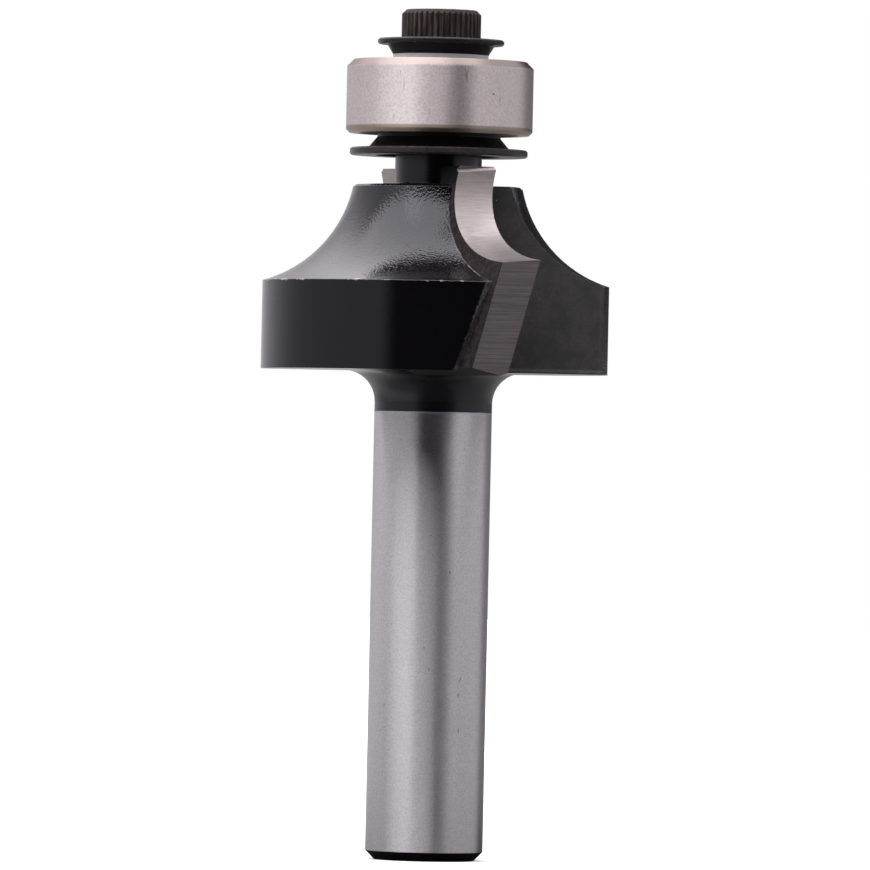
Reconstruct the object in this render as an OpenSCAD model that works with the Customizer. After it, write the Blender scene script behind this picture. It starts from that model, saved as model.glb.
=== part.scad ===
// Corner rounding router bit with two brazed cutting tips and a ball bearing pilot.
// The origin is the centre of the shank's free end and +Z runs up the axis to the screw head.
// The front gullet opens towards -Y and the bit cuts by turning anticlockwise seen from above.

/* [Shank] */
// Diameter of the shank
shank_d = 8; // [7:0.05:10]
// Length from the free end of the shank to the underside of the cutter body
shank_len = 33.2; // [20:0.1:60]
// Chamfer on the free end of the shank
shank_chamfer = 0.6; // [0.2:0.05:0.9]
// Radius of the fillet where the shank runs into the cutter body
neck_fillet = 2.1; // [1:0.05:3]

/* [Cutting profile] */
// Diameter over the cutting edges
cut_d = 25.4; // [22:0.1:30]
// Height of the outer cutting corner above the underside of the body
corner_h = 7.53; // [6:0.01:10]
// Hook angle of the rake face at the outer cutting corner
hook_angle = 11.3; // [5:0.1:14]
// Shear angle of the rake face, with its top leading
shear_angle = 16; // [8:0.1:18]
// Relief angle behind the outer cutting corner
relief_angle = 18.7; // [14:0.1:22]
// Angle by which the relief falls away behind the edge
relief_fall = 4.7; // [2:0.1:8]

/* [Cutting tips] */
// Thickness of a tip
tip_t = 2.16; // [1.6:0.02:2.6]
// Distance from the axis to the inner end of a tip, along its rake face
tip_root = 3.5; // [3.3:0.05:4.2]
// Depth of the tip's lower end below the underside of the body, at the rake face
tip_drop = 0.4; // [0.1:0.05:0.8]
// Height of the bevel at the lower end of the rake face
tip_bevel_h = 0.31; // [0.1:0.01:0.6]
// Depth of the bevel at the lower end of the rake face
tip_bevel_t = 0.41; // [0.1:0.01:0.8]
// Bevel at the top of the cutting edge
tip_corner = 0.22; // [0.05:0.01:0.4]

/* [Cutter body] */
// Radial height of the cutting edge above the flank of the body
flank_drop = 0.9; // [0.75:0.05:1.5]
// Drop from the outer cutting corner to the top of the flank
flank_step = 1.54; // [1.3:0.01:2.5]
// Height of the tips above the top of the body
tip_stand = 1.26; // [0.6:0.02:1.6]
// Radial step from the pilot's edge in to the rim of the body's top land
land_drop = 0.6; // [0.4:0.05:1]
// Chamfer around the rim of the body's top land
land_chamfer = 0.15; // [0.05:0.01:0.3]
// Angle that the hollow side of the body turns through
hollow_deg = 63; // [50:1:75]
// Distance from the axis to the floor of a gullet
gullet_floor = 2.9; // [2.6:0.05:3.2]
// Angle between the floor of a gullet and the rake face, seen from above
gullet_angle = 45.4; // [42:0.1:50]
// Radius of the ledge left under a gullet, over the fillet
ledge_r = 5.3; // [4.9:0.05:5.6]
// Depth of the gullet outside that ledge, below the underside of the body
ledge_t = 0.3; // [0.1:0.05:0.4]
// Width of the broken edge where the flank meets the seat of a tip
seat_break = 0.3; // [0.1:0.02:0.5]

/* [Arbor] */
// Diameter of the neck between the body and the lower washer
neck_d = 5.9; // [5.4:0.05:6.4]
// Fillet at the foot of the neck
neck_foot = 0.2; // [0.05:0.05:0.4]
// Gap between the top of the tips and the lower washer
washer_gap = 0.77; // [0.4:0.01:1.5]
// Radial clearance of the post in the bearing and in the lower washer
post_gap = 0.01; // [0.005:0.005:0.03]
// Distance from the top of the inner ring down to the top of the post
post_recess = 0.35; // [0.1:0.05:0.8]

/* [Bearing] */
// Outside diameter of the bearing, which is the pilot diameter
bearing_od = 12.7; // [12:0.1:13.4]
// Bore of the bearing
bearing_bore = 4.76; // [4.5:0.02:5]
// Width of the bearing
bearing_w = 5; // [4.6:0.02:6]
// Diameter of the balls
ball_d = 2.38; // [2.2:0.02:2.5]
// Number of balls
ball_n = 7; // [5:1:7]
// Running clearance of a ball in the races and in its cage
ball_gap = 0.025; // [0.01:0.005:0.05]
// Thickness of the inner ring at its shoulders
inner_wall = 1.17; // [1:0.01:1.3]
// Thickness of the outer ring at its shoulders
outer_wall = 1.15; // [1:0.01:1.3]
// Chamfer on the upper outside corner of the outer ring
ring_top_chamfer = 0.46; // [0.2:0.02:0.6]
// Chamfer on the lower outside corner of the outer ring
ring_low_chamfer = 0.24; // [0.1:0.02:0.5]
// Chamfer in the bore of the inner ring
bore_chamfer = 0.2; // [0.1:0.02:0.3]
// Thickness of the cage's sheet
cage_t = 0.2; // [0.12:0.01:0.25]
// Radial clearance between the cage and the shoulders of both rings
cage_gap = 0.17; // [0.1:0.01:0.3]
// Radial step from the outer ring's shoulder out to the recess that seats a shield
shield_step = 0.25; // [0.15:0.01:0.35]
// Thickness of a shield
shield_t = 0.2; // [0.12:0.01:0.3]
// Depth of a shield's outer face below the face of the outer ring
shield_depth = 0.3; // [0.25:0.01:0.4]
// Radial clearance between a shield and the inner ring
shield_gap = 0.08; // [0.04:0.01:0.15]
// Radial clearance of a shield in its seat
shield_fit = 0.01; // [0.005:0.005:0.03]
// Thickness of a retaining ring
retainer_t = 0.2; // [0.12:0.01:0.24]
// Radial width of a retaining ring
retainer_w = 0.34; // [0.2:0.02:0.5]
// Depth of the groove that holds a retaining ring
retainer_groove = 0.08; // [0.04:0.01:0.12]
// Clearance of a retaining ring in its groove
retainer_gap = 0.01; // [0.005:0.001:0.02]
// Width of the slit in a retaining ring
retainer_slit = 0.8; // [0.4:0.1:1.6]

/* [Lower shield washer] */
// Diameter of the flange
low_flange_d = 12.1; // [11:0.1:12.4]
// Height of the whole washer
low_h = 1.5; // [1.2:0.05:2]
// Thickness of the sheet
low_t = 0.5; // [0.35:0.05:0.6]
// Chamfer on the corners of the flange
low_rim_chamfer = 0.1; // [0.04:0.02:0.16]
// Diameter of the raised middle where it meets the bearing
low_crown_d = 8.4; // [7.6:0.1:9]
// Height of the upright side of the raised middle
low_side_h = 0.25; // [0.1:0.05:0.4]
// Slope of the cone between the crown and the flange, measured outwards
low_cone_w = 0.65; // [0.4:0.05:0.9]

/* [Spacer] */
// Diameter of the spacer
spacer_d = 6.5; // [6:0.1:6.9]
// Thickness of the spacer
spacer_t = 0.4; // [0.2:0.05:0.8]

/* [Upper shield washer] */
// Diameter of the flange
up_flange_d = 8.6; // [7.9:0.1:9.5]
// Height of the whole washer
up_h = 1.06; // [1:0.05:1.8]
// Thickness of the bottom
up_t = 0.35; // [0.25:0.05:0.45]
// Thickness of the flange
up_flange_t = 0.38; // [0.3:0.05:0.55]
// Chamfer on the corners of the flange
up_rim_chamfer = 0.1; // [0.04:0.02:0.14]
// Diameter of the bottom
up_base_d = 6.5; // [6.4:0.1:6.9]
// Slope of the cone between the bottom and the flange, measured outwards
up_cone_w = 0.42; // [0.3:0.02:0.6]
// Radial clearance between the washer's wall and the screw head
head_gap = 0.22; // [0.1:0.02:0.3]

/* [Cap screw] */
// Diameter of the thread
screw_d = 3; // [2.6:0.05:3.2]
// Length of the thread under the head
screw_len = 8.2; // [6:0.1:11]
// Radial clearance of the thread in the arbor's tapped hole
thread_gap = 0.04; // [0.01:0.01:0.08]
// Depth of the tapped hole beyond the end of the screw
hole_extra = 0.8; // [0.3:0.1:2]
// Radial clearance of the screw in the washer and the spacer
screw_hole_gap = 0.1; // [0.05:0.01:0.2]
// Diameter of the head over its knurl
head_d = 5.4; // [5:0.05:5.6]
// Height of the head
head_h = 2.7; // [2.2:0.05:3.4]
// Chamfer around the top of the head
head_chamfer = 0.3; // [0.1:0.02:0.5]
// Number of grooves in the knurl
knurl_n = 42; // [24:1:48]
// Depth of the grooves in the knurl
knurl_t = 0.13; // [0.04:0.01:0.16]
// Height of the plain band under the knurl
knurl_base = 0.3; // [0.1:0.05:0.6]
// Width across the flats of the hexagon socket
socket_w = 2.5; // [2:0.1:2.7]
// Depth of the hexagon socket
socket_t = 1.6; // [1:0.1:2]
// Chamfer around the mouth of the socket
socket_chamfer = 0.12; // [0.05:0.01:0.2]

/* [Hidden] */
$fn = 96;

// Radii
shank_r = shank_d / 2;
cut_r = cut_d / 2;
pilot_r = bearing_od / 2;
round_r = cut_r - pilot_r;
flank_r = cut_r - flank_drop;
land_r = pilot_r - land_drop;
neck_r = neck_d / 2;
screw_r = screw_d / 2;
hole_r = screw_r + thread_gap;
screw_hole_r = screw_r + screw_hole_gap;
bore_r = bearing_bore / 2;
post_r = bore_r - post_gap;
inner_land_r = bore_r + inner_wall;
outer_land_r = pilot_r - outer_wall;
pitch_r = (bore_r + pilot_r) / 2;
ball_r = ball_d / 2;
race_r = ball_r + ball_gap;
shield_seat_r = outer_land_r + shield_step;

// Levels up the axis
under_z = shank_len;
corner_z = under_z + corner_h;
tip_top_z = corner_z + round_r;
top_z = tip_top_z - tip_stand;
flank_z = corner_z - flank_step;
low_z = tip_top_z + washer_gap;
shoulder_z = low_z + low_h - low_t;
bearing_z = low_z + low_h;
mid_z = bearing_z + bearing_w / 2;
spacer_z = bearing_z + bearing_w;
up_z = spacer_z + spacer_t;
head_z = up_z + up_t;
head_top_z = head_z + head_h;
post_z = spacer_z - post_recess;

// Rake plane: bearing of its normal from above, and its distance from the outer corner's level
rake_az = 90 - gullet_angle;
rake_depth = cut_r * sin(hook_angle) * cos(shear_angle);
corner_az = rake_az - 90 - hook_angle;
// Bearing and tilt of the straight line along which the relief is swept
sweep_az = corner_az + 90 - relief_angle;
sweep_out = [sin(sweep_az), -cos(sweep_az), 0];
sweep_up = [-sin(relief_fall) * cos(sweep_az), -sin(relief_fall) * sin(sweep_az), cos(relief_fall)];
// Overshoot of the large cutting solids, and of the small ones
over = 20;
margin = 1;
// Overlap of the cut for a seat with the cut for its gullet
seat_lap = 0.1;

// Radius of the cutting edge at height z above the outer corner
function edge_r(z) = z <= 0 ? cut_r : cut_r - sqrt(max(0, round_r * round_r - pow(round_r - z, 2)));
// Distance of the rake plane from the axis at height z above the outer corner
function rake_at(z) = -cut_r * sin(hook_angle) + z * tan(shear_angle);
// Point of the cutting edge at height z above the outer corner
function edge_point(z) = let (d = rake_at(z), s = sqrt(pow(edge_r(z), 2) - d * d))
    [d * cos(rake_az) + s * sin(rake_az), d * sin(rake_az) - s * cos(rake_az), z];
// The same point seen along the sweep
function swept(z) = [edge_point(z) * sweep_out, edge_point(z) * sweep_up];
// Centre of the circle through three points
function centre_of(a, b, c) =
    let (p = b - a, q = c - a, w = 2 * (p[0] * q[1] - p[1] * q[0]))
    a + [q[1] * (p * p) - p[1] * (q * q), p[0] * (q * q) - q[0] * (p * p)] / w;
// Centre of the arc from p to q that turns through the angle a and bulges to the left of p to q
function arc_centre(p, q, a) =
    let (m = (p + q) / 2, h = (q - p) / 2)
    m + [h[1], -h[0]] / tan(a / 2);

module rear() {
    rotate([0, 0, 180]) children();
}

// Places a flat plate that lies in XY: X runs out along the rake face, Y up it and Z behind it
module on_rake() {
    translate([0, 0, corner_z])
        rotate([90 - shear_angle, 0, rake_az - 90])
            translate([0, 0, rake_depth])
                children();
}

// Tube between two radii and two levels
module tube(r_in, r_out, z0, z1) {
    rotate_extrude()
        translate([r_in, z0])
            square([r_out - r_in, z1 - z0]);
}

// Shank, fillet and hollow sided body, as turned
module turned_blank() {
    rim = [land_r, top_z];
    foot = [flank_r, flank_z];
    hollow_c = arc_centre(rim, foot, -hollow_deg);
    hollow_r = norm(rim - hollow_c);
    rotate_extrude() {
        polygon([
            [0, 0],
            [shank_r - shank_chamfer, 0],
            [shank_r, shank_chamfer],
            [shank_r, under_z],
            [0, under_z]
        ]);
        difference() {
            translate([0, under_z - neck_fillet])
                square([shank_r + neck_fillet, neck_fillet]);
            translate([shank_r + neck_fillet, under_z - neck_fillet])
                circle(r = neck_fillet);
        }
        difference() {
            translate([0, under_z])
                square([flank_r, top_z - under_z]);
            translate(hollow_c)
                circle(r = hollow_r);
            translate(rim)
                rotate([0, 0, 45])
                    square(2 * land_chamfer * sin(45), center = true);
        }
    }
}

// Neck and bearing post, as turned
module turned_neck() {
    rotate_extrude() {
        difference() {
            translate([0, top_z])
                square([neck_r + neck_foot, shoulder_z - top_z]);
            translate([neck_r, top_z + neck_foot])
                square([neck_foot + margin, shoulder_z]);
            translate([neck_r + neck_foot, top_z + neck_foot])
                circle(r = neck_foot);
        }
        translate([0, shoulder_z])
            square([post_r, post_z - shoulder_z]);
    }
}

// Everything ahead of the rake face and outside the gullet's floor
module gullet() {
    difference() {
        intersection() {
            on_rake()
                translate([-over, -over, -2 * over])
                    cube([3 * over, 2 * over, 2 * over]);
            translate([-over, -over - gullet_floor, under_z - ledge_t])
                cube([3 * over, over, top_z - under_z + ledge_t + margin]);
        }
        translate([0, 0, under_z - over])
            cylinder(r = ledge_r, h = over);
    }
}

// Seat that a tip is brazed into
module seat() {
    on_rake()
        translate([tip_root, -over, -seat_lap])
            cube([over, 2 * over, tip_t + seat_lap]);
}

// Half length of the chord in which the flank's level z meets the plane of the seat
function seat_edge(z) = sqrt(pow(flank_r, 2) - pow(rake_at(z) - tip_t / cos(shear_angle), 2));

// Broken edge where the flank meets the seat, widest at the bottom
module seat_bevel() {
    rise = (flank_z - under_z) / cos(shear_angle);
    foot_v = -corner_h / cos(shear_angle) - (rake_depth + tip_t) * tan(shear_angle);
    foot = [seat_edge(-corner_h) - seat_break, foot_v];
    head = [seat_edge(flank_z - corner_z), foot_v + rise];
    on_rake()
        translate([0, 0, tip_t - margin])
            linear_extrude(over)
                polygon([
                    foot - (head - foot) / 2,
                    head + (head - foot) / 4,
                    [over, head[1] + rise],
                    [over, foot[1] - rise]
                ]);
}

// Everything that one tip and its gullet take out of the turned body
module wing_cuts() {
    gullet();
    seat();
    seat_bevel();
}

module body() {
    color([0.13, 0.12, 0.13])
        difference() {
            union() {
                difference() {
                    turned_blank();
                    wing_cuts();
                    rear() wing_cuts();
                }
                turned_neck();
            }
            translate([0, 0, head_z - screw_len - hole_extra])
                cylinder(r = hole_r, h = over);
        }
}

// Outline of a tip seen along the sweep of its relief
module tip_outline() {
    low = swept(-corner_h - tip_drop);
    corner = swept(0);
    mid = swept(round_r * (1 - cos(45)));
    top = swept(round_r);
    arc_c = centre_of(corner, mid, top);
    arc_r = norm(corner - arc_c);
    difference() {
        polygon([
            [-over, -over],
            low + (low - corner) * 2,
            corner,
            corner + [0, over],
            [-over, over]
        ]);
        translate(arc_c)
            circle(r = arc_r);
        translate(top)
            rotate([0, 0, 45])
                square(2 * tip_corner * sin(45), center = true);
    }
}

// Side view of a tip, with Z behind the rake face along X and Y up the rake face
module tip_side() {
    low = (-corner_h - tip_drop - rake_depth * sin(shear_angle)) / cos(shear_angle);
    high = (round_r - rake_depth * sin(shear_angle)) / cos(shear_angle);
    polygon([
        [0, low + tip_bevel_h],
        [tip_bevel_t, low],
        [tip_t, low],
        [tip_t, high - tip_t * tan(shear_angle)],
        [0, high]
    ]);
}

module cutter_tip() {
    color([0.72, 0.69, 0.69])
        intersection() {
            on_rake()
                translate([tip_root, 0, 0])
                    rotate([0, -90, 0])
                        mirror([0, 0, 1])
                            linear_extrude(over)
                                tip_side();
            translate([0, 0, corner_z])
                rotate([90 + relief_fall, 0, sweep_az - 90])
                    translate([0, 0, -over])
                        linear_extrude(2 * over)
                            tip_outline();
        }
}

module cutter_tip_front() {
    cutter_tip();
}

module cutter_tip_rear() {
    rear() cutter_tip();
}

// Dished washer whose flange stands clear of the bearing
module lower_shield_washer() {
    crown_r = low_crown_d / 2;
    flange_r = low_flange_d / 2;
    cone_r = crown_r + low_cone_w;
    color([0.09, 0.09, 0.11])
        rotate_extrude()
            polygon([
                [post_r + post_gap, bearing_z],
                [post_r + post_gap, bearing_z - low_t],
                [crown_r - low_t, bearing_z - low_t],
                [cone_r - low_t, low_z],
                [flange_r - low_rim_chamfer, low_z],
                [flange_r, low_z + low_rim_chamfer],
                [flange_r, low_z + low_t - low_rim_chamfer],
                [flange_r - low_rim_chamfer, low_z + low_t],
                [cone_r, low_z + low_t],
                [crown_r, bearing_z - low_side_h],
                [crown_r, bearing_z]
            ]);
}

module bearing_inner_ring() {
    color([0.7, 0.7, 0.7])
        rotate_extrude()
            difference() {
                polygon([
                    [bore_r, bearing_z + bore_chamfer],
                    [bore_r + bore_chamfer, bearing_z],
                    [inner_land_r, bearing_z],
                    [inner_land_r, spacer_z],
                    [bore_r + bore_chamfer, spacer_z],
                    [bore_r, spacer_z - bore_chamfer]
                ]);
                translate([pitch_r, mid_z])
                    circle(r = race_r);
            }
}

// Half of the recess for a shield and its retaining ring, as seen from the bearing's middle
module shield_recess() {
    half = bearing_w / 2;
    translate([0, half - shield_depth - shield_t])
        square([shield_seat_r, bearing_w]);
    translate([0, half - shield_depth])
        square([shield_seat_r + retainer_groove, retainer_t + retainer_gap]);
}

module bearing_outer_ring() {
    half = bearing_w / 2;
    color([0.66, 0.65, 0.65])
        translate([0, 0, mid_z])
            rotate_extrude()
                difference() {
                    polygon([
                        [outer_land_r, -half],
                        [pilot_r - ring_low_chamfer, -half],
                        [pilot_r, ring_low_chamfer - half],
                        [pilot_r, half - ring_top_chamfer],
                        [pilot_r - ring_top_chamfer, half],
                        [outer_land_r, half]
                    ]);
                    translate([pitch_r, 0])
                        circle(r = race_r);
                    shield_recess();
                    mirror([0, 1]) shield_recess();
                }
}

// Balls are numbered anticlockwise from +X
module ball(i) {
    color([0.8, 0.8, 0.8])
        rotate([0, 0, 360 / ball_n * (i - 1)])
            translate([pitch_r, 0, mid_z])
                sphere(r = ball_r);
}

module cage_spheres(r) {
    for (i = [1:ball_n])
        rotate([0, 0, 360 / ball_n * (i - 1)])
            translate([pitch_r, 0, 0])
                sphere(r = r);
}

// Pressed half of the cage: a flat ring with a round pocket over each ball
module cage_half() {
    cage_in = inner_land_r + cage_gap;
    cage_out = outer_land_r - cage_gap;
    color([0.62, 0.6, 0.55])
        difference() {
            intersection() {
                tube(cage_in, cage_out, 0, race_r + cage_t);
                union() {
                    cylinder(r = cage_out + margin, h = cage_t);
                    cage_spheres(race_r + cage_t);
                }
            }
            cage_spheres(race_r);
        }
}

module cage_upper() {
    translate([0, 0, mid_z])
        cage_half();
}

module cage_lower() {
    translate([0, 0, mid_z])
        mirror([0, 0, 1])
            cage_half();
}

module shield() {
    color([0.2, 0.19, 0.2])
        tube(
            inner_land_r + shield_gap,
            shield_seat_r - shield_fit,
            bearing_w / 2 - shield_depth - shield_t,
            bearing_w / 2 - shield_depth
        );
}

module bearing_shield_upper() {
    translate([0, 0, mid_z])
        shield();
}

module bearing_shield_lower() {
    translate([0, 0, mid_z])
        mirror([0, 0, 1])
            shield();
}

// Split ring that snaps into the groove over a shield
module retaining_ring() {
    ring_out = shield_seat_r + retainer_groove - retainer_gap;
    z0 = bearing_w / 2 - shield_depth;
    color([0.5, 0.5, 0.5])
        difference() {
            tube(ring_out - retainer_w, ring_out, z0, z0 + retainer_t);
            translate([0, -retainer_slit / 2, z0 - margin])
                cube([over, retainer_slit, retainer_t + 2 * margin]);
        }
}

module retaining_ring_upper() {
    translate([0, 0, mid_z])
        retaining_ring();
}

module retaining_ring_lower() {
    translate([0, 0, mid_z])
        mirror([0, 0, 1])
            retaining_ring();
}

module spacer() {
    color([0.85, 0.86, 0.9])
        tube(screw_hole_r, spacer_d / 2, spacer_z, up_z);
}

// Dished washer that the screw head sinks into
module upper_shield_washer() {
    base_r = up_base_d / 2;
    flange_r = up_flange_d / 2;
    wall_r = head_d / 2 + head_gap;
    rim_z = up_z + up_h;
    color([0.09, 0.09, 0.1])
        rotate_extrude()
            polygon([
                [screw_hole_r, up_z],
                [base_r, up_z],
                [base_r + up_cone_w, rim_z - up_flange_t],
                [flange_r - up_rim_chamfer, rim_z - up_flange_t],
                [flange_r, rim_z - up_flange_t + up_rim_chamfer],
                [flange_r, rim_z - up_rim_chamfer],
                [flange_r - up_rim_chamfer, rim_z],
                [wall_r + up_cone_w, rim_z],
                [wall_r, head_z],
                [screw_hole_r, head_z]
            ]);
}

module cap_screw() {
    head_r = head_d / 2;
    socket_r = socket_w / 2 / cos(30);
    color([0.16, 0.13, 0.12])
        difference() {
            union() {
                translate([0, 0, head_z - screw_len])
                    cylinder(r = screw_r, h = screw_len + margin);
                rotate_extrude()
                    polygon([
                        [0, head_z],
                        [head_r - knurl_t, head_z],
                        [head_r, head_z + knurl_t],
                        [head_r, head_top_z - head_chamfer],
                        [head_r - head_chamfer, head_top_z],
                        [0, head_top_z]
                    ]);
            }
            for (i = [1:knurl_n])
                rotate([0, 0, 360 / knurl_n * i])
                    translate([head_r - knurl_t, 0, head_z + knurl_base])
                        rotate([0, 0, -45])
                            cube([margin, margin, over]);
            translate([0, 0, head_top_z - socket_t])
                cylinder(r = socket_r, h = over, $fn = 6);
            translate([0, 0, head_top_z - socket_chamfer])
                cylinder(r1 = socket_r - socket_chamfer, r2 = socket_r + socket_chamfer, h = 2 * socket_chamfer);
        }
}

body();
cutter_tip_front();
cutter_tip_rear();
lower_shield_washer();
bearing_inner_ring();
bearing_outer_ring();
ball(1);  // ball_1
ball(2);  // ball_2
ball(3);  // ball_3
ball(4);  // ball_4
ball(5);  // ball_5
ball(6);  // ball_6
ball(7);  // ball_7
cage_lower();
cage_upper();
bearing_shield_lower();
bearing_shield_upper();
retaining_ring_lower();
retaining_ring_upper();
spacer();
upper_shield_washer();
cap_screw();
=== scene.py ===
from math import cos, pi, radians, sin

import bpy
from mathutils import Matrix, Vector

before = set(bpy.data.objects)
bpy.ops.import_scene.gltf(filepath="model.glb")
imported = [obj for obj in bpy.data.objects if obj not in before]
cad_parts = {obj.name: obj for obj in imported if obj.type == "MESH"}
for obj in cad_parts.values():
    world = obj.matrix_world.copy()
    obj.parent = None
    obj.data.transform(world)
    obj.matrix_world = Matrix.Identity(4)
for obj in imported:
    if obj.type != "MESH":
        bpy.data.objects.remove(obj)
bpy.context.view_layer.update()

MM_PER_M = 1000
DEGREES = 180 / pi
WHITE = (1.0, 1.0, 1.0)

# Sizes of the bit in millimetres, as in its source: Z is a height, R a radius, T a thickness
SHANK_CHAMFER = 0.6
PAINT_END = 30.45
UNDER_Z = 33.2
FLANK_TOP = 39.19
CORNER_Z = 40.73
LAND_Z = 45.82
CUT_R = 12.7
FLANK_R = 11.8
NECK_R = 2.95
GULLET_FLOOR = 2.9
HOOK = radians(11.3)
SHEAR = radians(16)
RAKE_AZ = radians(90 - 45.4)
TIP_T = 2.16
TIP_ROOT = 3.5
BEARING_Z = 49.35
BEARING_W = 5.0
RING_TOP_CHAMFER = 0.46
RING_LOW_CHAMFER = 0.24
LOW_Z = 47.85
LOW_T = 0.5
LOW_FLANGE_R = 6.05
UP_FLANGE_R = 4.3
UP_RIM_Z = 55.81
UP_FLANGE_T = 0.38
HEAD_Z = 55.1
HEAD_R = 2.7
HEAD_TOP = 57.8
KNURL_BASE = 0.3

# A speck fades out between these shares of its size
SPECK_OUTER, SPECK_INNER = 1.4, 0.6
# Turn of the anisotropic highlight that draws it out along the axis, across the grinding rings
ACROSS_RINGS = 0.25


def shade(colour, factor):
    return tuple(min(1, channel * factor) for channel in colour)


class Nodes:
    """Short ways to write a node tree."""

    def __init__(self, tree):
        self.tree = tree
        self.tree.nodes.clear()

    def add(self, kind, **settings):
        node = self.tree.nodes.new(kind)
        for key, value in settings.items():
            setattr(node, key, value)
        return node

    def put(self, value, socket):
        """Link a socket, or set a value; a colour of three numbers gets its alpha."""
        if isinstance(value, bpy.types.NodeSocket):
            self.tree.links.new(value, socket)
        elif isinstance(value, tuple) and len(value) == 3 and socket.type == "RGBA":
            socket.default_value = (*value, 1)
        else:
            socket.default_value = value

    def split(self, vector):
        node = self.add("ShaderNodeSeparateXYZ")
        self.put(vector, node.inputs[0])
        return node.outputs[0], node.outputs[1], node.outputs[2]

    def math(self, operation, *values):
        node = self.add("ShaderNodeMath", operation=operation)
        for value, socket in zip(values, node.inputs):
            self.put(value, socket)
        return node.outputs[0]

    def plus(self, a, b):
        return self.math("ADD", a, b)

    def times(self, *values):
        product = values[0]
        for value in values[1:]:
            product = self.math("MULTIPLY", product, value)
        return product

    def absolute(self, value):
        return self.math("ABSOLUTE", value)

    def either(self, a, b):
        return self.math("MAXIMUM", a, b)

    def length(self, a, b):
        return self.math("SQRT", self.plus(self.times(a, a), self.times(b, b)))

    def about(self, middle, noise, spread):
        """Middle, moved up and down by noise over this spread."""
        return self.plus(middle, self.times(self.plus(noise, -0.5), spread))

    def step(self, value, low, high):
        """0 at low and 1 at high, with a soft rise between; low may be the larger."""
        node = self.add("ShaderNodeMapRange", interpolation_type="SMOOTHSTEP")
        self.put(value, node.inputs["Value"])
        node.inputs["From Min"].default_value = min(low, high)
        node.inputs["From Max"].default_value = max(low, high)
        node.inputs["To Min"].default_value = 0 if low < high else 1
        node.inputs["To Max"].default_value = 1 if low < high else 0
        return node.outputs[0]

    def sharpen(self, noise, half):
        """Noise with more contrast: 0 and 1 beyond half either side of its middle."""
        return self.step(noise, 0.5 - half, 0.5 + half)

    def band(self, value, middle, half, soft):
        """1 within half of middle, falling to 0 over soft."""
        return self.step(self.absolute(self.plus(value, -middle)), half + soft, half)

    def mix(self, factor, a, b):
        node = self.add("ShaderNodeMix", data_type="RGBA")
        self.put(factor, node.inputs[0])
        self.put(a, node.inputs[6])
        self.put(b, node.inputs[7])
        return node.outputs[2]

    def blend(self, factor, a, b):
        node = self.add("ShaderNodeMix", data_type="FLOAT")
        self.put(factor, node.inputs[0])
        self.put(a, node.inputs[2])
        self.put(b, node.inputs[3])
        return node.outputs[0]

    def mix_shaders(self, factor, a, b):
        node = self.add("ShaderNodeMixShader")
        self.put(factor, node.inputs[0])
        self.put(a, node.inputs[1])
        self.put(b, node.inputs[2])
        return node.outputs[0]


class Surface(Nodes):
    """One material's nodes. Positions are millimetres in the piece's own space."""

    def __init__(self, name):
        self.material = bpy.data.materials.new(name)
        self.material.use_nodes = True
        super().__init__(self.material.node_tree)
        coords = self.add("ShaderNodeTexCoord")
        scaled = self.add("ShaderNodeVectorMath", operation="SCALE")
        self.put(coords.outputs["Object"], scaled.inputs[0])
        scaled.inputs["Scale"].default_value = MM_PER_M
        self.mm = scaled.outputs[0]
        self.x, self.y, self.z = self.split(self.mm)
        self.normal = self.split(coords.outputs["Normal"])
        self.r = self.length(self.x, self.y)

    def mapped(self, scale, shift):
        node = self.add("ShaderNodeMapping")
        self.put(self.mm, node.inputs["Vector"])
        node.inputs["Location"].default_value = (shift, shift, shift)
        node.inputs["Scale"].default_value = scale
        return node.outputs[0]

    def noise(self, scale, stretch=(1, 1, 1), detail=3.0, roughness=0.55, shift=0.0):
        """Noise whose cells are 1 / scale millimetres, with each axis also scaled by stretch."""
        place = self.mapped(tuple(scale * axis for axis in stretch), shift)
        node = self.add("ShaderNodeTexNoise")
        self.put(place, node.inputs["Vector"])
        node.inputs["Scale"].default_value = 1
        node.inputs["Detail"].default_value = detail
        node.inputs["Roughness"].default_value = roughness
        return node.outputs[0]

    def specks(self, spacing, size, share, shift=0.0):
        """Small round spots on a share of the cells of a grid with this spacing."""
        place = self.mapped((1 / spacing,) * 3, shift)
        node = self.add("ShaderNodeTexVoronoi")
        self.put(place, node.inputs["Vector"])
        node.inputs["Scale"].default_value = 1
        chosen, _, _ = self.split(node.outputs["Color"])
        reach = size / spacing
        spot = self.step(node.outputs["Distance"], reach * SPECK_OUTER, reach * SPECK_INNER)
        return self.times(spot, self.step(chosen, share + 0.001, share))

    def bump(self, height, depth, normal=None):
        """Relief whose full height is depth, in millimetres."""
        node = self.add("ShaderNodeBump")
        self.put(height, node.inputs["Height"])
        node.inputs["Distance"].default_value = depth / MM_PER_M
        if normal is not None:
            self.put(normal, node.inputs["Normal"])
        return node.outputs[0]

    def rounded(self, radius):
        """Normal that rounds the edges by this radius, in millimetres."""
        node = self.add("ShaderNodeBevel", samples=4)
        node.inputs["Radius"].default_value = radius / MM_PER_M
        return node.outputs[0]

    def round_axis(self):
        """Tangent round the axis, for grain that runs round it."""
        return self.add("ShaderNodeTangent", direction_type="RADIAL", axis="Z").outputs[0]

    def shader(self, **inputs):
        node = self.add("ShaderNodeBsdfPrincipled")
        for key, value in inputs.items():
            self.put(value, node.inputs[key.replace("_", " ")])
        return node.outputs[0]

    def finish(self, shader):
        out = self.add("ShaderNodeOutputMaterial")
        self.put(shader, out.inputs["Surface"])
        return self.material


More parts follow.
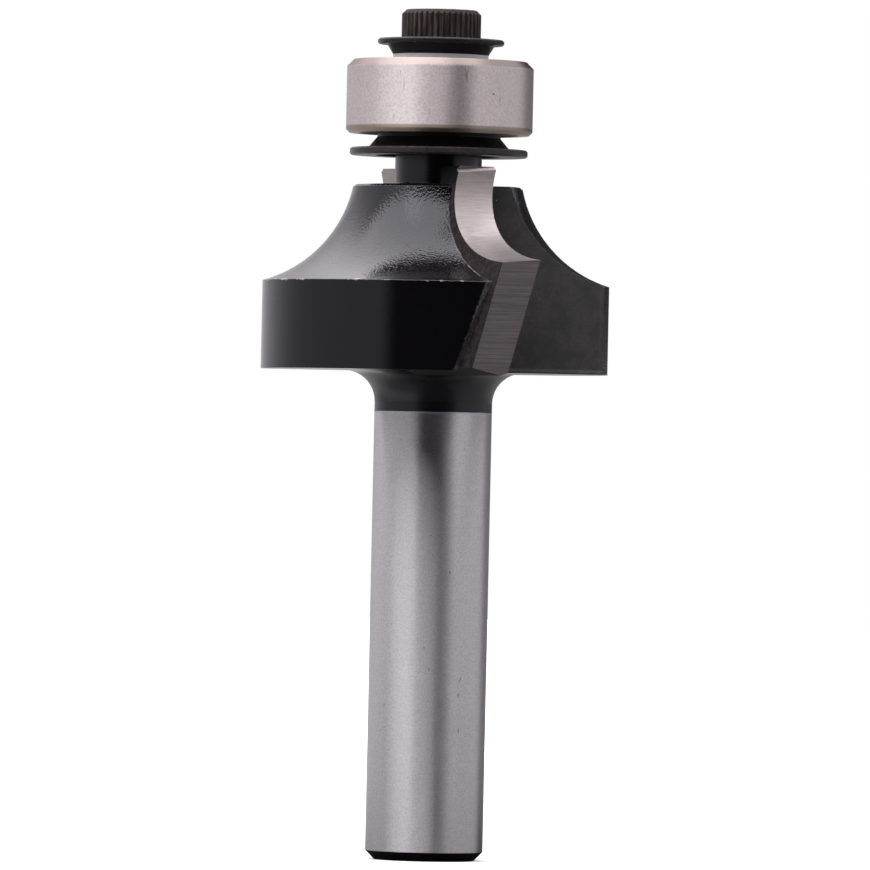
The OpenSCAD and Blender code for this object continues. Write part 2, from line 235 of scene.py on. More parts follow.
def behind_rake(s):
    """Distance behind the rake face of the point's own wing, and 1 on the side with the tip."""
    across = s.plus(s.times(s.x, cos(RAKE_AZ)), s.times(s.y, sin(RAKE_AZ)))
    along = s.plus(s.times(s.x, sin(RAKE_AZ)), s.times(s.y, -cos(RAKE_AZ)))
    up = s.times(s.plus(s.z, -CORNER_Z), sin(SHEAR))
    face = CUT_R * sin(HOOK) * cos(SHEAR)
    depth = s.plus(s.plus(s.times(s.absolute(across), cos(SHEAR)), up), -face)
    return depth, s.step(s.times(across, along), 0.5, -0.5)


SHANK_STEEL = (0.86, 0.84, 0.865)
SHANK_ROUGH = 0.47
NICK_DARK = (0.12, 0.1, 0.1)


def ground_steel(s, colour, rough, normal):
    """Bright steel ground round its axis: fine rings, mottled grain and a few nicks."""
    rings = s.noise(26, stretch=(0.02, 0.02, 1), detail=4, roughness=0.7)
    grain = s.noise(9, detail=2, roughness=0.8, shift=7.0)
    blotch = s.noise(0.9, stretch=(1, 1, 0.6), detail=4, roughness=0.65, shift=3.0)
    scratch = s.noise(2.6, stretch=(1, 1, 0.45), detail=3, roughness=0.6, shift=15.0)
    nicks = s.either(s.specks(2.3, 0.06, 0.16), s.step(scratch, 0.71, 0.74))
    tone = s.mix(blotch, shade(colour, 0.92), shade(colour, 1.06))
    tone = s.mix(s.times(s.sharpen(grain, 0.15), 0.5), tone, shade(colour, 0.6))
    tone = s.mix(s.times(s.sharpen(rings, 0.15), 0.2), tone, shade(colour, 0.7))
    tone = s.mix(s.times(nicks, 0.6), tone, NICK_DARK)
    relief = s.bump(s.plus(s.times(rings, 0.3), s.times(grain, 0.7)), 0.01, normal)
    return s.shader(
        Base_Color=tone,
        Metallic=1.0,
        Roughness=s.about(s.about(rough, blotch, 0.1), rings, 0.08),
        Anisotropic=1.0,
        Anisotropic_Rotation=ACROSS_RINGS,
        Tangent=s.round_axis(),
        Normal=s.bump(nicks, -0.01, relief),
    )


# Cutter body: its coating, the greyer floors of the gullets, what shows where it is worn, pale
# lines on the gullet floors, and the shank's dark end
COAT_DEEP, COAT_PALE = (0.003, 0.003, 0.0035), (0.006, 0.005, 0.006)
FLOOR_DEEP, FLOOR_PALE = (0.058, 0.061, 0.059), (0.09, 0.08, 0.082)
FLOOR_GRIT = (0.045, 0.043, 0.044)
FLOOR_SPECK = (0.3, 0.28, 0.28)
# Pale lines along the gullet floors' outer edge and foot
FLOOR_LINES = (0.5, 0.46, 0.46)
DUST = (0.5, 0.49, 0.48)
BRAZE = (0.15, 0.138, 0.148)
WORN_EDGE = (0.46, 0.42, 0.42)
NECK_LINE = (0.36, 0.32, 0.32)
BLUISH = (0.6, 0.6, 0.8)
# Dark tones of the shank's end chamfer
END_DARK_DEEP, END_DARK_PALE = (0.006, 0.005, 0.006), (0.02, 0.018, 0.019)
COAT_SHEEN = 0.6
COAT_SHEEN_TINT = (0.911, 0.926, 1.0)


def coated_body():
    """Black coated cutter body on a bright ground shank."""
    s = Surface("coated_body")
    edge = s.rounded(0.05)
    depth, by_tip = behind_rake(s)
    _, ny, _ = s.normal

    # Where each finish lies
    wave = s.times(s.plus(s.noise(0.7, detail=2), -0.5), 0.06)
    below_paint = s.step(s.plus(s.z, wave), PAINT_END + 0.02, PAINT_END - 0.02)
    end = s.step(s.z, SHANK_CHAMFER + 0.04, SHANK_CHAMFER - 0.02)
    floor = s.times(
        s.step(s.absolute(ny), 0.97, 0.99),
        s.band(s.absolute(s.y), GULLET_FLOOR, 0.05, 0.05),
        s.step(s.z, UNDER_Z - 0.4, UNDER_Z - 0.3),
        s.step(s.z, LAND_Z + 0.02, LAND_Z - 0.02),
    )
    off_floor = s.step(floor, 0.6, 0.4)
    hollow = s.times(
        s.step(s.z, FLANK_TOP, FLANK_TOP + 0.4),
        s.step(s.z, LAND_Z - 0.02, LAND_Z - 0.1),
        off_floor,
    )

    # Wear: chips along the flank's top edge and the tips' seats. Pale lines along the gullet
    # floors' outer edge and foot, and round the neck
    chip = s.noise(2.2, detail=5, roughness=0.75, shift=2.0)
    ragged = s.times(s.plus(chip, -0.5), 0.22)
    chipped = s.step(s.noise(1.1, detail=4, roughness=0.7, shift=12.0), 0.5, 0.62)
    rim_width = s.plus(0.012, s.times(chipped, 0.06))
    from_rim = s.absolute(s.plus(s.plus(s.z, s.times(ragged, 0.5)), -FLANK_TOP))
    rim = s.times(
        s.step(s.math("DIVIDE", from_rim, rim_width), 1.4, 0.7),
        s.step(s.r, FLANK_R - 0.25, FLANK_R - 0.12),
        s.step(depth, TIP_T - 0.2, TIP_T),
        s.plus(0.25, s.times(chipped, 0.75)),
    )
    seat_line = s.times(
        s.band(s.plus(depth, ragged), TIP_T + 0.03, 0.03, 0.05),
        s.step(s.z, UNDER_Z + 0.3, UNDER_Z + 0.8),
        s.step(s.r, TIP_ROOT + 0.6, TIP_ROOT + 1.2),
        off_floor,
        by_tip,
        s.step(s.z, CORNER_Z + 2.2, CORNER_Z + 0.8),
        s.plus(0.15, s.times(chipped, 0.45)),
    )
    braze = s.times(
        s.band(s.plus(depth, s.times(ragged, 1.5)), TIP_T + 0.12, 0.2, 0.1),
        s.step(s.z, FLANK_TOP + 0.3, FLANK_TOP - 0.1),
        s.step(s.r, FLANK_R - 2.6, FLANK_R - 2.3),
        off_floor,
        by_tip,
    )
    neck_line = s.times(
        s.band(s.z, LAND_Z + 0.06, 0.03, 0.04), s.step(s.r, NECK_R + 0.5, NECK_R + 0.2)
    )
    neck = s.times(
        s.step(s.z, LAND_Z + 0.02, LAND_Z + 0.06), s.step(s.r, NECK_R + 0.4, NECK_R + 0.25)
    )
    floor_edge = s.times(floor, s.band(s.r, FLANK_R - 0.22, 0.03, 0.07))
    floor_foot = s.times(floor, s.band(s.z, UNDER_Z + 0.2, 0.07, 0.06))
    floor_pale_lines = s.either(s.times(floor_edge, 0.05), s.times(floor_foot, 0.3))
    floor_specks = s.times(floor, s.specks(0.7, 0.04, 0.12, shift=5.0))
    dust = s.either(s.specks(1.9, 0.055, 0.34, shift=1.0), s.specks(1.0, 0.032, 0.12, shift=8.0))

    # Coating
    peel = s.noise(2.6, detail=4, roughness=0.6)
    grit = s.noise(7, detail=3, roughness=0.7, shift=4.0)
    dimples = s.noise(6.5, detail=1, roughness=0.5, shift=17.0)
    turned = s.noise(7, stretch=(0.05, 0.05, 1), detail=3, shift=6.0)
    mottle = s.noise(0.8, detail=4, roughness=0.6, shift=9.0)
    floor_tone = s.mix(s.sharpen(mottle, 0.2), FLOOR_DEEP, FLOOR_PALE)
    floor_tone = s.mix(s.times(s.sharpen(grit, 0.1), 0.5), floor_tone, FLOOR_GRIT)
    colour = s.mix(floor, s.mix(peel, COAT_DEEP, COAT_PALE), floor_tone)
    colour = s.mix(s.times(dust, 0.8), colour, DUST)
    colour = s.mix(s.times(braze, s.sharpen(grit, 0.2), 0.6), colour, BRAZE)
    colour = s.mix(s.times(s.either(rim, seat_line), 0.85), colour, WORN_EDGE)
    colour = s.mix(s.times(floor_specks, 0.5), colour, FLOOR_SPECK)
    colour = s.mix(s.times(neck_line, 0.25), colour, NECK_LINE)
    colour = s.mix(s.times(floor_pale_lines, chip), colour, FLOOR_LINES)
    coat_rough = s.plus(0.08, s.times(mottle, 0.06))
    floor_rough = s.plus(0.34, s.times(mottle, 0.16))
    under_rough = s.plus(0.24, s.times(mottle, 0.12))
    rough = s.blend(floor, coat_rough, floor_rough)
    rough = s.blend(s.either(braze, s.times(neck, 0.3)), rough, 0.5)
    rough = s.blend(s.step(s.z, UNDER_Z - 0.05, UNDER_Z - 0.3), rough, under_rough)
    fine = s.plus(s.times(grit, 0.2), s.times(turned, 0.3))
    skin = s.bump(s.times(dimples, s.plus(0.1, hollow)), 0.02, edge)
    skin = s.bump(s.plus(s.times(peel, 0.5), fine), 0.006, skin)
    skin = s.bump(s.plus(s.times(braze, grit), s.plus(dust, s.times(rim, -0.6))), 0.03, skin)
    paint = s.shader(
        Base_Color=colour,
        Roughness=rough,
        Specular_IOR_Level=COAT_SHEEN,
        Specular_Tint=COAT_SHEEN_TINT,
        Normal=skin,
    )

    # Shank with a bluish line just below the coating, and its dark end
    steel = ground_steel(s, SHANK_STEEL, SHANK_ROUGH, edge)
    tint_line = s.band(s.plus(s.z, wave), PAINT_END - 0.07, 0.03, 0.03)
    bluish = s.shader(Base_Color=BLUISH, Metallic=1.0, Roughness=0.5, Normal=edge)
    dark_end = s.shader(
        Base_Color=s.mix(grit, END_DARK_DEEP, END_DARK_PALE),
        Metallic=0.3,
        Roughness=0.45,
        Normal=s.bump(grit, 0.01, edge),
    )
    bare = s.mix_shaders(end, s.mix_shaders(s.times(tint_line, 0.7), steel, bluish), dark_end)
    return s.finish(s.mix_shaders(below_paint, paint, bare))


# Carbide: dark and pale tones of the grinding lines low and high on the concave edge and below
# the corner, the stain that brazing left behind the rake face, and painted shade on that back
# above the body
EDGE_LOW_DEEP, EDGE_LOW_PALE = (0.25, 0.224, 0.222), (0.33, 0.3, 0.295)
EDGE_HIGH_DEEP, EDGE_HIGH_PALE = (0.38, 0.34, 0.337), (0.5, 0.455, 0.447)
BELOW_DEEP, BELOW_PALE = (0.17, 0.153, 0.157), (0.31, 0.28, 0.28)
EDGE_PALER_FROM, EDGE_PALER_TO = 41.2, 45.2
STAIN_DEEP, STAIN_PALE = (0.008, 0.006, 0.006), (0.038, 0.028, 0.029)
# Painted shade: the tip's back above the body, near black
PAINTED_SHADE_TOP = (0.003, 0.003, 0.003)
STAIN_SPOT = (0.5, 0.48, 0.47)


def carbide():
    """Ground carbide with its back stained by the brazing, and painted shade above the body."""
    s = Surface("ground_carbide")
    edge = s.rounded(0.02)
    depth, _ = behind_rake(s)
    lines = s.noise(14, stretch=(0.06, 0.06, 1), detail=4, roughness=0.75)
    long_lines = s.noise(14, stretch=(0.015, 0.015, 1), detail=4, roughness=0.8, shift=8.0)
    broad = s.noise(3, stretch=(0.1, 0.1, 1), detail=3, roughness=0.6, shift=3.0)
    cloud = s.noise(0.7, detail=3, shift=5.0)
    _, _, nz = s.normal
    back = s.either(s.step(depth, TIP_T - 0.05, TIP_T - 0.02), s.step(nz, -0.7, -0.8))
    low = s.mix(s.sharpen(lines, 0.2), EDGE_LOW_DEEP, EDGE_LOW_PALE)
    high = s.mix(s.sharpen(lines, 0.2), EDGE_HIGH_DEEP, EDGE_HIGH_PALE)
    paler = s.step(s.z, EDGE_PALER_FROM, EDGE_PALER_TO)
    tone = s.mix(s.times(paler, s.plus(0.85, s.times(broad, 0.3))), low, high)
    below = s.mix(s.sharpen(long_lines, 0.17), BELOW_DEEP, BELOW_PALE)
    tone = s.mix(s.step(s.z, CORNER_Z + 0.02, CORNER_Z - 0.02), tone, below)
    ground = s.shader(
        Base_Color=tone,
        Metallic=1.0,
        Roughness=s.plus(0.42, s.plus(s.times(lines, 0.08), s.times(cloud, 0.08))),
        Anisotropic=0.5,
        Anisotropic_Rotation=ACROSS_RINGS,
        Tangent=s.round_axis(),
        Normal=s.bump(s.plus(lines, broad), 0.004, edge),
    )
    flux = s.noise(3, detail=5, roughness=0.7, shift=2.0)
    spots = s.specks(0.8, 0.045, 0.2, shift=6.0)
    stain_and_shade = s.mix(s.step(flux, 0.35, 0.7), STAIN_DEEP, STAIN_PALE)
    # Painted shade: the back above the body is darkened to near black
    stain_and_shade = s.mix(s.step(s.z, LAND_Z - 0.1, LAND_Z + 0.1), stain_and_shade, PAINTED_SHADE_TOP)
    stained_and_shaded = s.shader(
        Base_Color=s.mix(s.times(spots, 0.7), stain_and_shade, STAIN_SPOT),
        Roughness=s.plus(0.4, s.times(flux, 0.3)),
        Specular_IOR_Level=0.16,
        Normal=s.bump(s.plus(flux, spots), 0.03, edge),
    )
    return s.finish(s.mix_shaders(back, ground, stained_and_shaded))


# Washers: the tints of the two, and what shows on a rubbed flange and a worn rim
LOWER_BLACK = (0.022, 0.022, 0.026)
UPPER_BLACK = (0.004, 0.0045, 0.008)
FLANGE_RUB = (0.06, 0.05, 0.046)
RIM_STEEL = (0.34, 0.31, 0.3)


def blackened(name, tint, rim_r, rim_z, rim_t, flange_wear):
    """Blackened pressed steel with a worn rim."""
    s = Surface(name)
    edge = s.rounded(0.06)
    rings = s.noise(16, stretch=(0.1, 0.1, 1), detail=3)
    mottle = s.noise(1.6, detail=4, roughness=0.65, shift=2.0)
    chip = s.times(s.plus(s.noise(3.5, detail=4, shift=5.0), -0.5), 0.16)
    height = s.plus(s.z, chip)
    worn = s.step(s.noise(1.3, detail=4, roughness=0.7, shift=8.0), 0.42, 0.6)
    low_edge = s.band(height, rim_z, 0.015, 0.05)
    high_edge = s.band(height, rim_z + rim_t, 0.015, 0.05)
    rim = s.times(
        s.step(s.r, rim_r - 0.1, rim_r - 0.03),
        s.either(low_edge, high_edge),
        s.plus(0.15, s.times(worn, 0.45)),
    )
    flange = s.times(s.step(s.r, rim_r - 0.5, rim_r - 0.2), flange_wear)
    dust = s.specks(1.3, 0.035, 0.15)
    colour = s.mix(mottle, shade(tint, 0.5), shade(tint, 1.2))
    colour = s.mix(s.times(flange, mottle), colour, FLANGE_RUB)
    colour = s.mix(s.either(rim, s.times(dust, 0.5)), colour, RIM_STEEL)
    return s.finish(
        s.shader(
            Base_Color=colour,
            Roughness=s.about(0.3, mottle, 0.2),
            Specular_IOR_Level=0.22,
            Normal=s.bump(s.plus(rings, mottle), 0.006, edge),
        )
    )


# Bearing rings: the lapped rim, its warm chamfers, dark marks, and where its one scar lies
LAP_DEEP, LAP_PALE = (0.68, 0.622, 0.622), (0.92, 0.842, 0.842)
LAP_CLOUD = (0.7, 0.64, 0.64)
TOP_WARM_PALE, TOP_WARM_DEEP = (0.5, 0.415, 0.375), (0.42, 0.345, 0.315)
LOW_WARM_PALE, LOW_WARM_DEEP = (0.42, 0.33, 0.27), (0.34, 0.27, 0.22)
PIT_DARK = (0.16, 0.13, 0.13)
SCAR_X, SCAR_HEIGHT = 3.62, 2.62
SCAR_HALF, SCAR_SOFT = 0.05, 0.04


def bearing_steel():
    """Outer and inner ring: satin ground rim, warm turned chamfers and small pits."""
    s = Surface("bearing_steel")
    edge = s.rounded(0.25)
    height = s.plus(s.z, -BEARING_Z)
    top_start = BEARING_W - RING_TOP_CHAMFER
    upper = s.step(height, top_start - 0.02, top_start + 0.03)
    lower = s.step(height, RING_LOW_CHAMFER + 0.28, RING_LOW_CHAMFER + 0.16)
    rings = s.noise(20, stretch=(0.04, 0.04, 1), detail=4, roughness=0.7)
    lap = s.noise(6, detail=3, roughness=0.8, shift=4.0)
    cloud = s.noise(0.9, detail=3, roughness=0.6, shift=11.0)
    scratch = s.noise(1.6, stretch=(2.5, 2.5, 0.5), detail=4, roughness=0.7, shift=8.0)
    pits = s.either(s.specks(2.3, 0.06, 0.16, shift=3.0), s.specks(1.0, 0.028, 0.1, shift=1.0))
    scar = s.times(
        s.band(s.x, SCAR_X, SCAR_HALF, SCAR_SOFT),
        s.band(height, SCAR_HEIGHT, SCAR_HALF, SCAR_SOFT),
        s.step(s.y, 0, -1),
    )
    pits = s.either(pits, scar)
    marks = s.either(pits, s.times(s.step(scratch, 0.64, 0.68), 0.6))
    warmer = s.times(lap, 0.6)
    colour = s.mix(s.sharpen(lap, 0.15), LAP_DEEP, LAP_PALE)
    colour = s.mix(s.times(cloud, 0.4), colour, LAP_CLOUD)
    colour = s.mix(s.times(upper, 0.9), colour, s.mix(warmer, TOP_WARM_PALE, TOP_WARM_DEEP))
    colour = s.mix(s.times(lower, 0.9), colour, s.mix(warmer, LOW_WARM_PALE, LOW_WARM_DEEP))
    colour = s.mix(s.times(marks, 0.75), colour, PIT_DARK)
    relief = s.bump(s.plus(s.times(rings, 0.3), s.times(lap, 0.7)), 0.014, edge)
    return s.finish(
        s.shader(
            Base_Color=colour,
            Metallic=1.0,
            Roughness=s.about(0.44, lap, 0.08),
            Anisotropic=1.0,
            Anisotropic_Rotation=ACROSS_RINGS,
            Tangent=s.round_axis(),
            Normal=s.bump(pits, -0.015, relief),
        )
    )


ZINC_DEEP, ZINC_PALE = (0.9, 0.96, 1.0), (0.95, 0.99, 1.0)


def bright_plate():
    """Spacer: pale satin zinc plate."""
    s = Surface("bright_plate")
    mottle = s.noise(2, detail=4, roughness=0.6, shift=3.0)
    return s.finish(
        s.shader(
            Base_Color=s.mix(mottle, ZINC_DEEP, ZINC_PALE),
            Metallic=0.0,
            Roughness=s.plus(0.4, s.times(mottle, 0.1)),
            Normal=s.bump(s.noise(18, stretch=(0.1, 0.1, 1)), 0.003, s.rounded(0.03)),
        )
    )


def plain_steel(name, colour, rough, grain=0.004):
    """Small turned, rolled or pressed pieces in and round the bearing."""
    s = Surface(name)
    edge = s.rounded(0.03)
    rings = s.noise(18, stretch=(0.1, 0.1, 1), detail=3)
    mottle = s.noise(2, detail=4, roughness=0.6, shift=3.0)
    return s.finish(
        s.shader(
            Base_Color=s.mix(mottle, shade(colour, 0.8), shade(colour, 1.1)),
            Metallic=1.0,
            Roughness=s.about(rough, mottle, 0.12),
            Normal=s.bump(rings, grain, edge),
        )
    )


# Cap screw: tones of its black oxide, and what shows where it is rubbed
STREAK_DEEP, STREAK_PALE = (0.012, 0.008, 0.006), (0.05, 0.037, 0.03)
OXIDE_MOTTLE = (0.03, 0.022, 0.018)
CREST_RUB = (0.15, 0.12, 0.105)
TOP_DARK = (0.012, 0.009, 0.008)
TOP_RUST = (0.3, 0.18, 0.12)
FOOT_BRIGHT = (0.5, 0.46, 0.42)


def black_oxide():
    """Cap screw: brown black oxide, rubbed in streaks down the knurl and bright at its foot."""
    s = Surface("black_oxide")
    edge = s.rounded(0.03)
    mottle = s.noise(1.5, detail=5, roughness=0.7)
    streak = s.noise(5, stretch=(1, 1, 0.12), detail=4, roughness=0.7, shift=4.0)
    knurl_z = HEAD_Z + KNURL_BASE
    crest = s.times(
        s.step(s.r, HEAD_R - 0.07, HEAD_R - 0.02),
        s.step(s.z, knurl_z, knurl_z + 0.1),
        s.step(streak, 0.42, 0.7),
    )
    foot = s.times(
        s.band(s.z, UP_RIM_Z + 0.03, 0.02, 0.04), s.step(s.r, HEAD_R - 0.2, HEAD_R - 0.1)
    )
    top = s.step(s.z, HEAD_TOP - 0.32, HEAD_TOP - 0.22)
    top_face = s.times(s.band(s.z, HEAD_TOP, 0.02, 0.03), s.sharpen(mottle, 0.1))
    colour = s.mix(s.sharpen(streak, 0.15), STREAK_DEEP, STREAK_PALE)
    colour = s.mix(s.times(mottle, 0.4), colour, OXIDE_MOTTLE)
    colour = s.mix(s.times(crest, 0.4), colour, CREST_RUB)
    colour = s.mix(s.times(top, 0.7), colour, TOP_DARK)
    colour = s.mix(s.times(top_face, 0.6), colour, TOP_RUST)
    colour = s.mix(s.times(foot, 0.5), colour, FOOT_BRIGHT)
    return s.finish(
        s.shader(
            Base_Color=colour,
            Roughness=s.about(s.plus(0.5, s.times(top, 0.2)), mottle, 0.2),
            Specular_IOR_Level=0.32,
            Normal=s.bump(s.plus(mottle, streak), 0.02, edge),
        )
    )


ball_steel = plain_steel("ball_steel", (0.72, 0.72, 0.74), 0.12, 0.0)
cage_steel = plain_steel("cage_steel", (0.52, 0.48, 0.42), 0.35)
shield_steel = plain_steel("shield_steel", (0.2, 0.18, 0.17), 0.42)
spring_steel = plain_steel("spring_steel", (0.42, 0.41, 0.41), 0.3)
ring_steel = bearing_steel()
tip_carbide = carbide()
LOOKS = {
    "body": coated_body(),
    "cutter_tip_front": tip_carbide,
    "cutter_tip_rear": tip_carbide,
    "lower_shield_washer": blackened(
        "blackened_lower", LOWER_BLACK, LOW_FLANGE_R, LOW_Z, LOW_T, 1.0
    ),
    "bearing_inner_ring": ring_steel,
    "bearing_outer_ring": ring_steel,
    "cage_lower": cage_steel,
    "cage_upper": cage_steel,
    "bearing_shield_lower": shield_steel,
    "bearing_shield_upper": shield_steel,
    "retaining_ring_lower": spring_steel,
    "retaining_ring_upper": spring_steel,
    "spacer": bright_plate(),
    "upper_shield_washer": blackened(
        "blackened_upper", UPPER_BLACK, UP_FLANGE_R, UP_RIM_Z - UP_FLANGE_T, UP_FLANGE_T, 0.4
    ),
    "cap_screw": black_oxide(),
}
for name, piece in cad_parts.items():
    piece.data.materials.clear()
    piece.data.materials.append(LOOKS.get(name, ball_steel))


# Room that lights the bit, seen by every ray but the camera's. Turns are degrees from the
# camera's side, right positive, and a height is the upward part of a direction. It is dark round
# the camera, paler upward at the sides, bright behind on the left and dim behind on the right.
LIGHT_COLOUR = (1.0, 0.965, 1.0)
FRONT_LEVEL, LEFT_LEVEL, RIGHT_LEVEL, BACK_LEVEL, DIM_LEVEL = 0.005, 0.42, 0.46, 0.7, 0.05
HIGH_LEFT_LEVEL, HIGH_RIGHT_LEVEL, HIGH_BACK_LEVEL = 0.88, 0.95, 2.9
HIGH_START, HIGH_END = 0.05, 0.28
HIGH_BACK_START, HIGH_BACK_END = 0.25, 0.8
FRONT_LEFT, FRONT_RIGHT = -32, 44
BACK_LEFT, DIM_START = -121, 131
DIM_LOW, DIM_HIGH = 0.0, 0.4
DIM_LOW_SOFT, DIM_HIGH_SOFT = 0.012, 0.1
ROOM_SOFT = 12
# The overhead box can be seen through, so the room is dark in the cone behind it. Otherwise the
# room's light would add to the box's.
MIDDLE = Vector((0, 0, 0.04))
TOP_PLACE = Vector((-0.09, -0.1, 0.5))
TOP_AXIS = (TOP_PLACE - MIDDLE).normalized()
BEHIND_TOP, CLEAR_OF_TOP = 0.76, 0.7


def room_level(n, x, y, z):
    """Brightness of the room in the direction x, y, z, which is one unit long."""
    turn = n.times(n.math("ARCTAN2", x, n.times(y, -1)), DEGREES)
    high = n.step(z, HIGH_START, HIGH_END)
    left = n.step(turn, FRONT_LEFT + ROOM_SOFT / 2, FRONT_LEFT - ROOM_SOFT / 2)
    right = n.step(turn, FRONT_RIGHT - ROOM_SOFT / 2, FRONT_RIGHT + ROOM_SOFT / 2)
    behind = n.step(turn, BACK_LEFT + 2 * ROOM_SOFT, BACK_LEFT - 2 * ROOM_SOFT)
    back = n.blend(n.step(z, HIGH_BACK_START, HIGH_BACK_END), BACK_LEVEL, HIGH_BACK_LEVEL)
    level = n.blend(right, FRONT_LEVEL, n.blend(high, RIGHT_LEVEL, HIGH_RIGHT_LEVEL))
    level = n.blend(left, level, n.blend(high, LEFT_LEVEL, HIGH_LEFT_LEVEL))
    level = n.blend(behind, level, back)
    dim = n.times(
        n.step(turn, DIM_START - ROOM_SOFT / 2, DIM_START + ROOM_SOFT / 2),
        n.step(z, DIM_LOW, DIM_LOW + DIM_LOW_SOFT),
        n.step(z, DIM_HIGH + DIM_HIGH_SOFT, DIM_HIGH),
    )
    sideways = n.plus(n.times(x, TOP_AXIS.x), n.times(y, TOP_AXIS.y))
    to_top = n.plus(sideways, n.times(z, TOP_AXIS.z))
    return n.times(n.blend(dim, level, DIM_LEVEL), n.step(to_top, BEHIND_TOP, CLEAR_OF_TOP))


def make_world():
    world = bpy.data.worlds.new("studio")
    bpy.context.scene.world = world
    world.use_nodes = True
    n = Nodes(world.node_tree)
    x, y, z = n.split(n.add("ShaderNodeTexCoord").outputs["Generated"])
    seen = n.add("ShaderNodeLightPath").outputs["Is Camera Ray"]
    background = n.add("ShaderNodeBackground")
    n.put(n.mix(seen, LIGHT_COLOUR, WHITE), background.inputs["Color"])
    n.put(n.blend(seen, room_level(n, x, y, z), 1.0), background.inputs["Strength"])
    n.put(background.outputs[0], n.add("ShaderNodeOutputWorld").inputs["Surface"])


make_world()

# Floor: white to the camera with the bit's shadow, and the room's level at its horizon to the
# bit. FLOOR_R is in metres and the other distances from the bit are in millimetres.
FLOOR_R = 1.2
FLOOR_SIDES = 64
PAPER = 0.86
BOUNCE = 0.05
GLOW_NEAR, GLOW_FAR = 0.25, 1.0
GLOW_START, GLOW_END = 60, 300
UNDER_BIT, CLEAR_OF_BIT = 6, 30
NEAR_SHARE, FAR_LEFT_SHARE, FAR_RIGHT_SHARE = 0.6, 1.6, 0.8
NEAR_R, FAR_R = 32, 90
LAST_R, LOST_R = 240, 340


def make_floor():
    mesh = bpy.data.meshes.new("floor")
    turns = [2 * pi * i / FLOOR_SIDES for i in range(FLOOR_SIDES)]
    rim = [(FLOOR_R * cos(turn), FLOOR_R * sin(turn), 0) for turn in turns]
    mesh.from_pydata(rim, [], [tuple(range(FLOOR_SIDES))])
    floor = bpy.data.objects.new("floor", mesh)
    bpy.context.scene.collection.objects.link(floor)
    s = Surface("floor_white")
    seen = s.add("ShaderNodeLightPath").outputs["Is Camera Ray"]
    paper = s.add("ShaderNodeBsdfDiffuse")
    s.put(s.mix(seen, (BOUNCE,) * 3, (PAPER,) * 3), paper.inputs["Color"])
    glow = s.add("ShaderNodeEmission")
    s.put(WHITE, glow.inputs["Color"])
    to_camera = s.blend(s.step(s.r, GLOW_START, GLOW_END), GLOW_NEAR, GLOW_FAR)
    on_left = s.times(s.step(s.x, 0, -NEAR_R), s.step(s.y, FAR_R, 0))
    far_share = s.blend(on_left, FAR_RIGHT_SHARE, FAR_LEFT_SHARE)
    far = s.times(s.step(s.r, NEAR_R, FAR_R), s.step(s.r, LOST_R, LAST_R))
    share = s.blend(far, NEAR_SHARE, far_share)
    level = room_level(s, s.math("DIVIDE", s.x, s.r), s.math("DIVIDE", s.y, s.r), 0)
    to_bit = s.times(level, s.step(s.r, UNDER_BIT, CLEAR_OF_BIT), share)
    s.put(s.blend(seen, to_bit, to_camera), glow.inputs["Strength"])
    both = s.add("ShaderNodeAddShader")
    s.put(paper.outputs[0], both.inputs[0])
    s.put(glow.outputs[0], both.inputs[1])
    mesh.materials.append(s.finish(both.outputs[0]))


make_floor()

# Lamps, in metres. The overhead box is round, and darker in a wedge that starts above the bit
# and opens to the front right. OVER_BIT is how far the point above the bit lies from the box's
# middle. The wedge's turns are in degrees.
TOP_SIZE = 0.94
TOP_LEVEL = 3.2
TOP_SOFT = 0.05
OVER_BIT = 0.1345
WEDGE_TURN, WEDGE_HALF, WEDGE_SOFT = -16, 8, 10
WEDGE_LEVEL = 0.2
WEDGE_START, WEDGE_FULL = 0.06, 0.18
STRIP_PLACE = Vector((-0.26, -0.345, 0.45))
STRIP_WIDTH, STRIP_HEIGHT = 0.11, 0.26
STRIP_LEVEL = 1.1


def soft_box(name, place, width, height, level):
    """Area lamp aimed at the bit, with this face brightness."""
    lamp = bpy.data.lights.new(name, "AREA")
    lamp.shape = "RECTANGLE"
    lamp.size, lamp.size_y = width, height
    lamp.energy = level * pi * width * height
    lamp.color = LIGHT_COLOUR
    holder = bpy.data.objects.new(name, lamp)
    bpy.context.scene.collection.objects.link(holder)
    holder.location = place
    holder.rotation_euler = (MIDDLE - place).to_track_quat("-Z", "Y").to_euler()
    return lamp


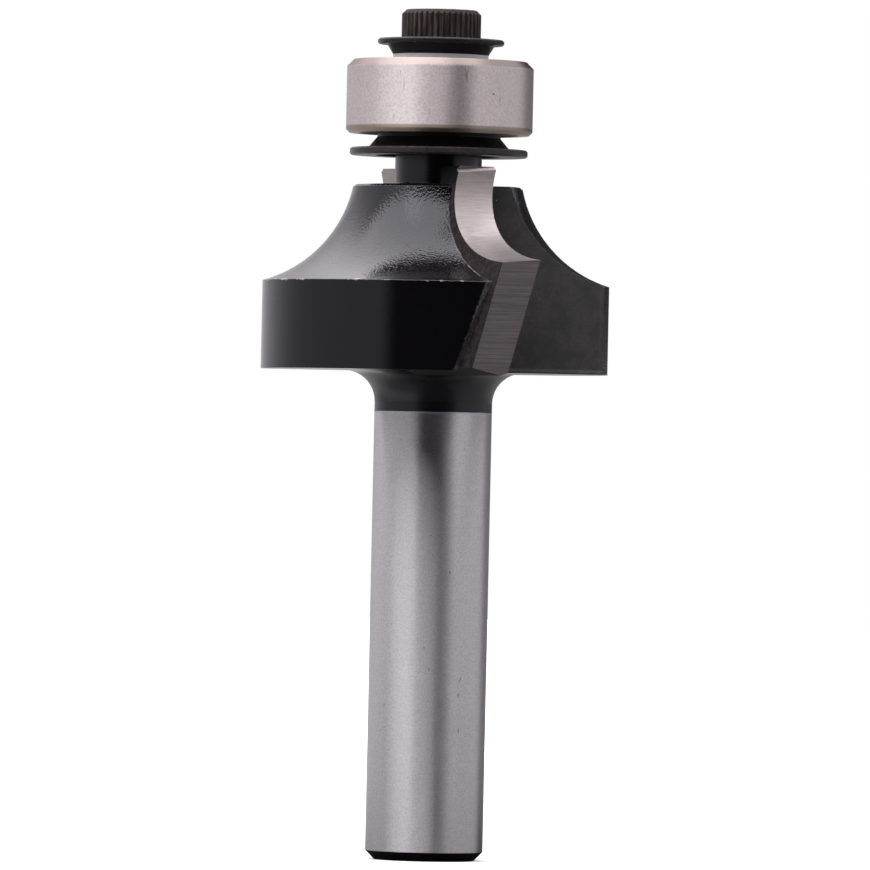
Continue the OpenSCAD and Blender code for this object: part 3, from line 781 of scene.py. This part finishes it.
def flag_wedge(lamp):
    """Mask the overhead box to a soft disc with the dark wedge in it."""
    lamp.use_nodes = True
    n = Nodes(lamp.node_tree)
    u, v, _ = n.split(n.add("ShaderNodeNewGeometry").outputs["Parametric"])
    right = n.times(n.plus(u, -0.5), TOP_SIZE)
    along = n.times(n.plus(v, -0.5), TOP_SIZE)
    disc = n.step(n.length(right, along), TOP_SIZE / 2, TOP_SIZE / 2 - TOP_SOFT)
    back = n.plus(along, -OVER_BIT)
    turn = n.times(n.math("ARCTAN2", back, right), DEGREES)
    opening = n.band(turn, WEDGE_TURN, WEDGE_HALF, WEDGE_SOFT)
    flag = n.times(opening, n.step(n.length(right, back), WEDGE_START, WEDGE_FULL))
    face = n.add("ShaderNodeEmission")
    n.put(WHITE, face.inputs["Color"])
    n.put(n.times(disc, n.blend(flag, 1.0, WEDGE_LEVEL)), face.inputs["Strength"])
    n.put(face.outputs[0], n.add("ShaderNodeOutputLight").inputs["Surface"])


flag_wedge(soft_box("top_box", TOP_PLACE, TOP_SIZE, TOP_SIZE, TOP_LEVEL))
soft_box("left_strip", STRIP_PLACE, STRIP_WIDTH, STRIP_HEIGHT, STRIP_LEVEL)

# Camera, in metres: almost level, far off, with the slight roll of the photograph
CAMERA_DISTANCE = 0.7
CAMERA_HEIGHT = 0.026
AIM = Vector((0.00016, 0, 0.0289))
PIXELS = 870
PIXELS_PER_METRE = 14700
ROLL = radians(1.233)
SENSOR = 36
NEAREST_SEEN = 0.01


def make_camera():
    camera = bpy.data.cameras.new("camera")
    camera.sensor_width = SENSOR
    camera.lens = PIXELS_PER_METRE * CAMERA_DISTANCE * SENSOR / PIXELS
    camera.clip_start = NEAREST_SEEN
    holder = bpy.data.objects.new("camera", camera)
    bpy.context.scene.collection.objects.link(holder)
    bpy.context.scene.camera = holder
    place = Vector((AIM.x, -CAMERA_DISTANCE, CAMERA_HEIGHT))
    back = (place - AIM).normalized()
    level_right = Vector((1, 0, 0))
    level_up = back.cross(level_right)
    right = level_right * cos(ROLL) + level_up * sin(ROLL)
    up = back.cross(right)
    axes = Matrix((right, up, back)).transposed().to_4x4()
    holder.matrix_world = Matrix.Translation(place) @ axes


make_camera()

bpy.context.scene.view_settings.view_transform = "Standard"
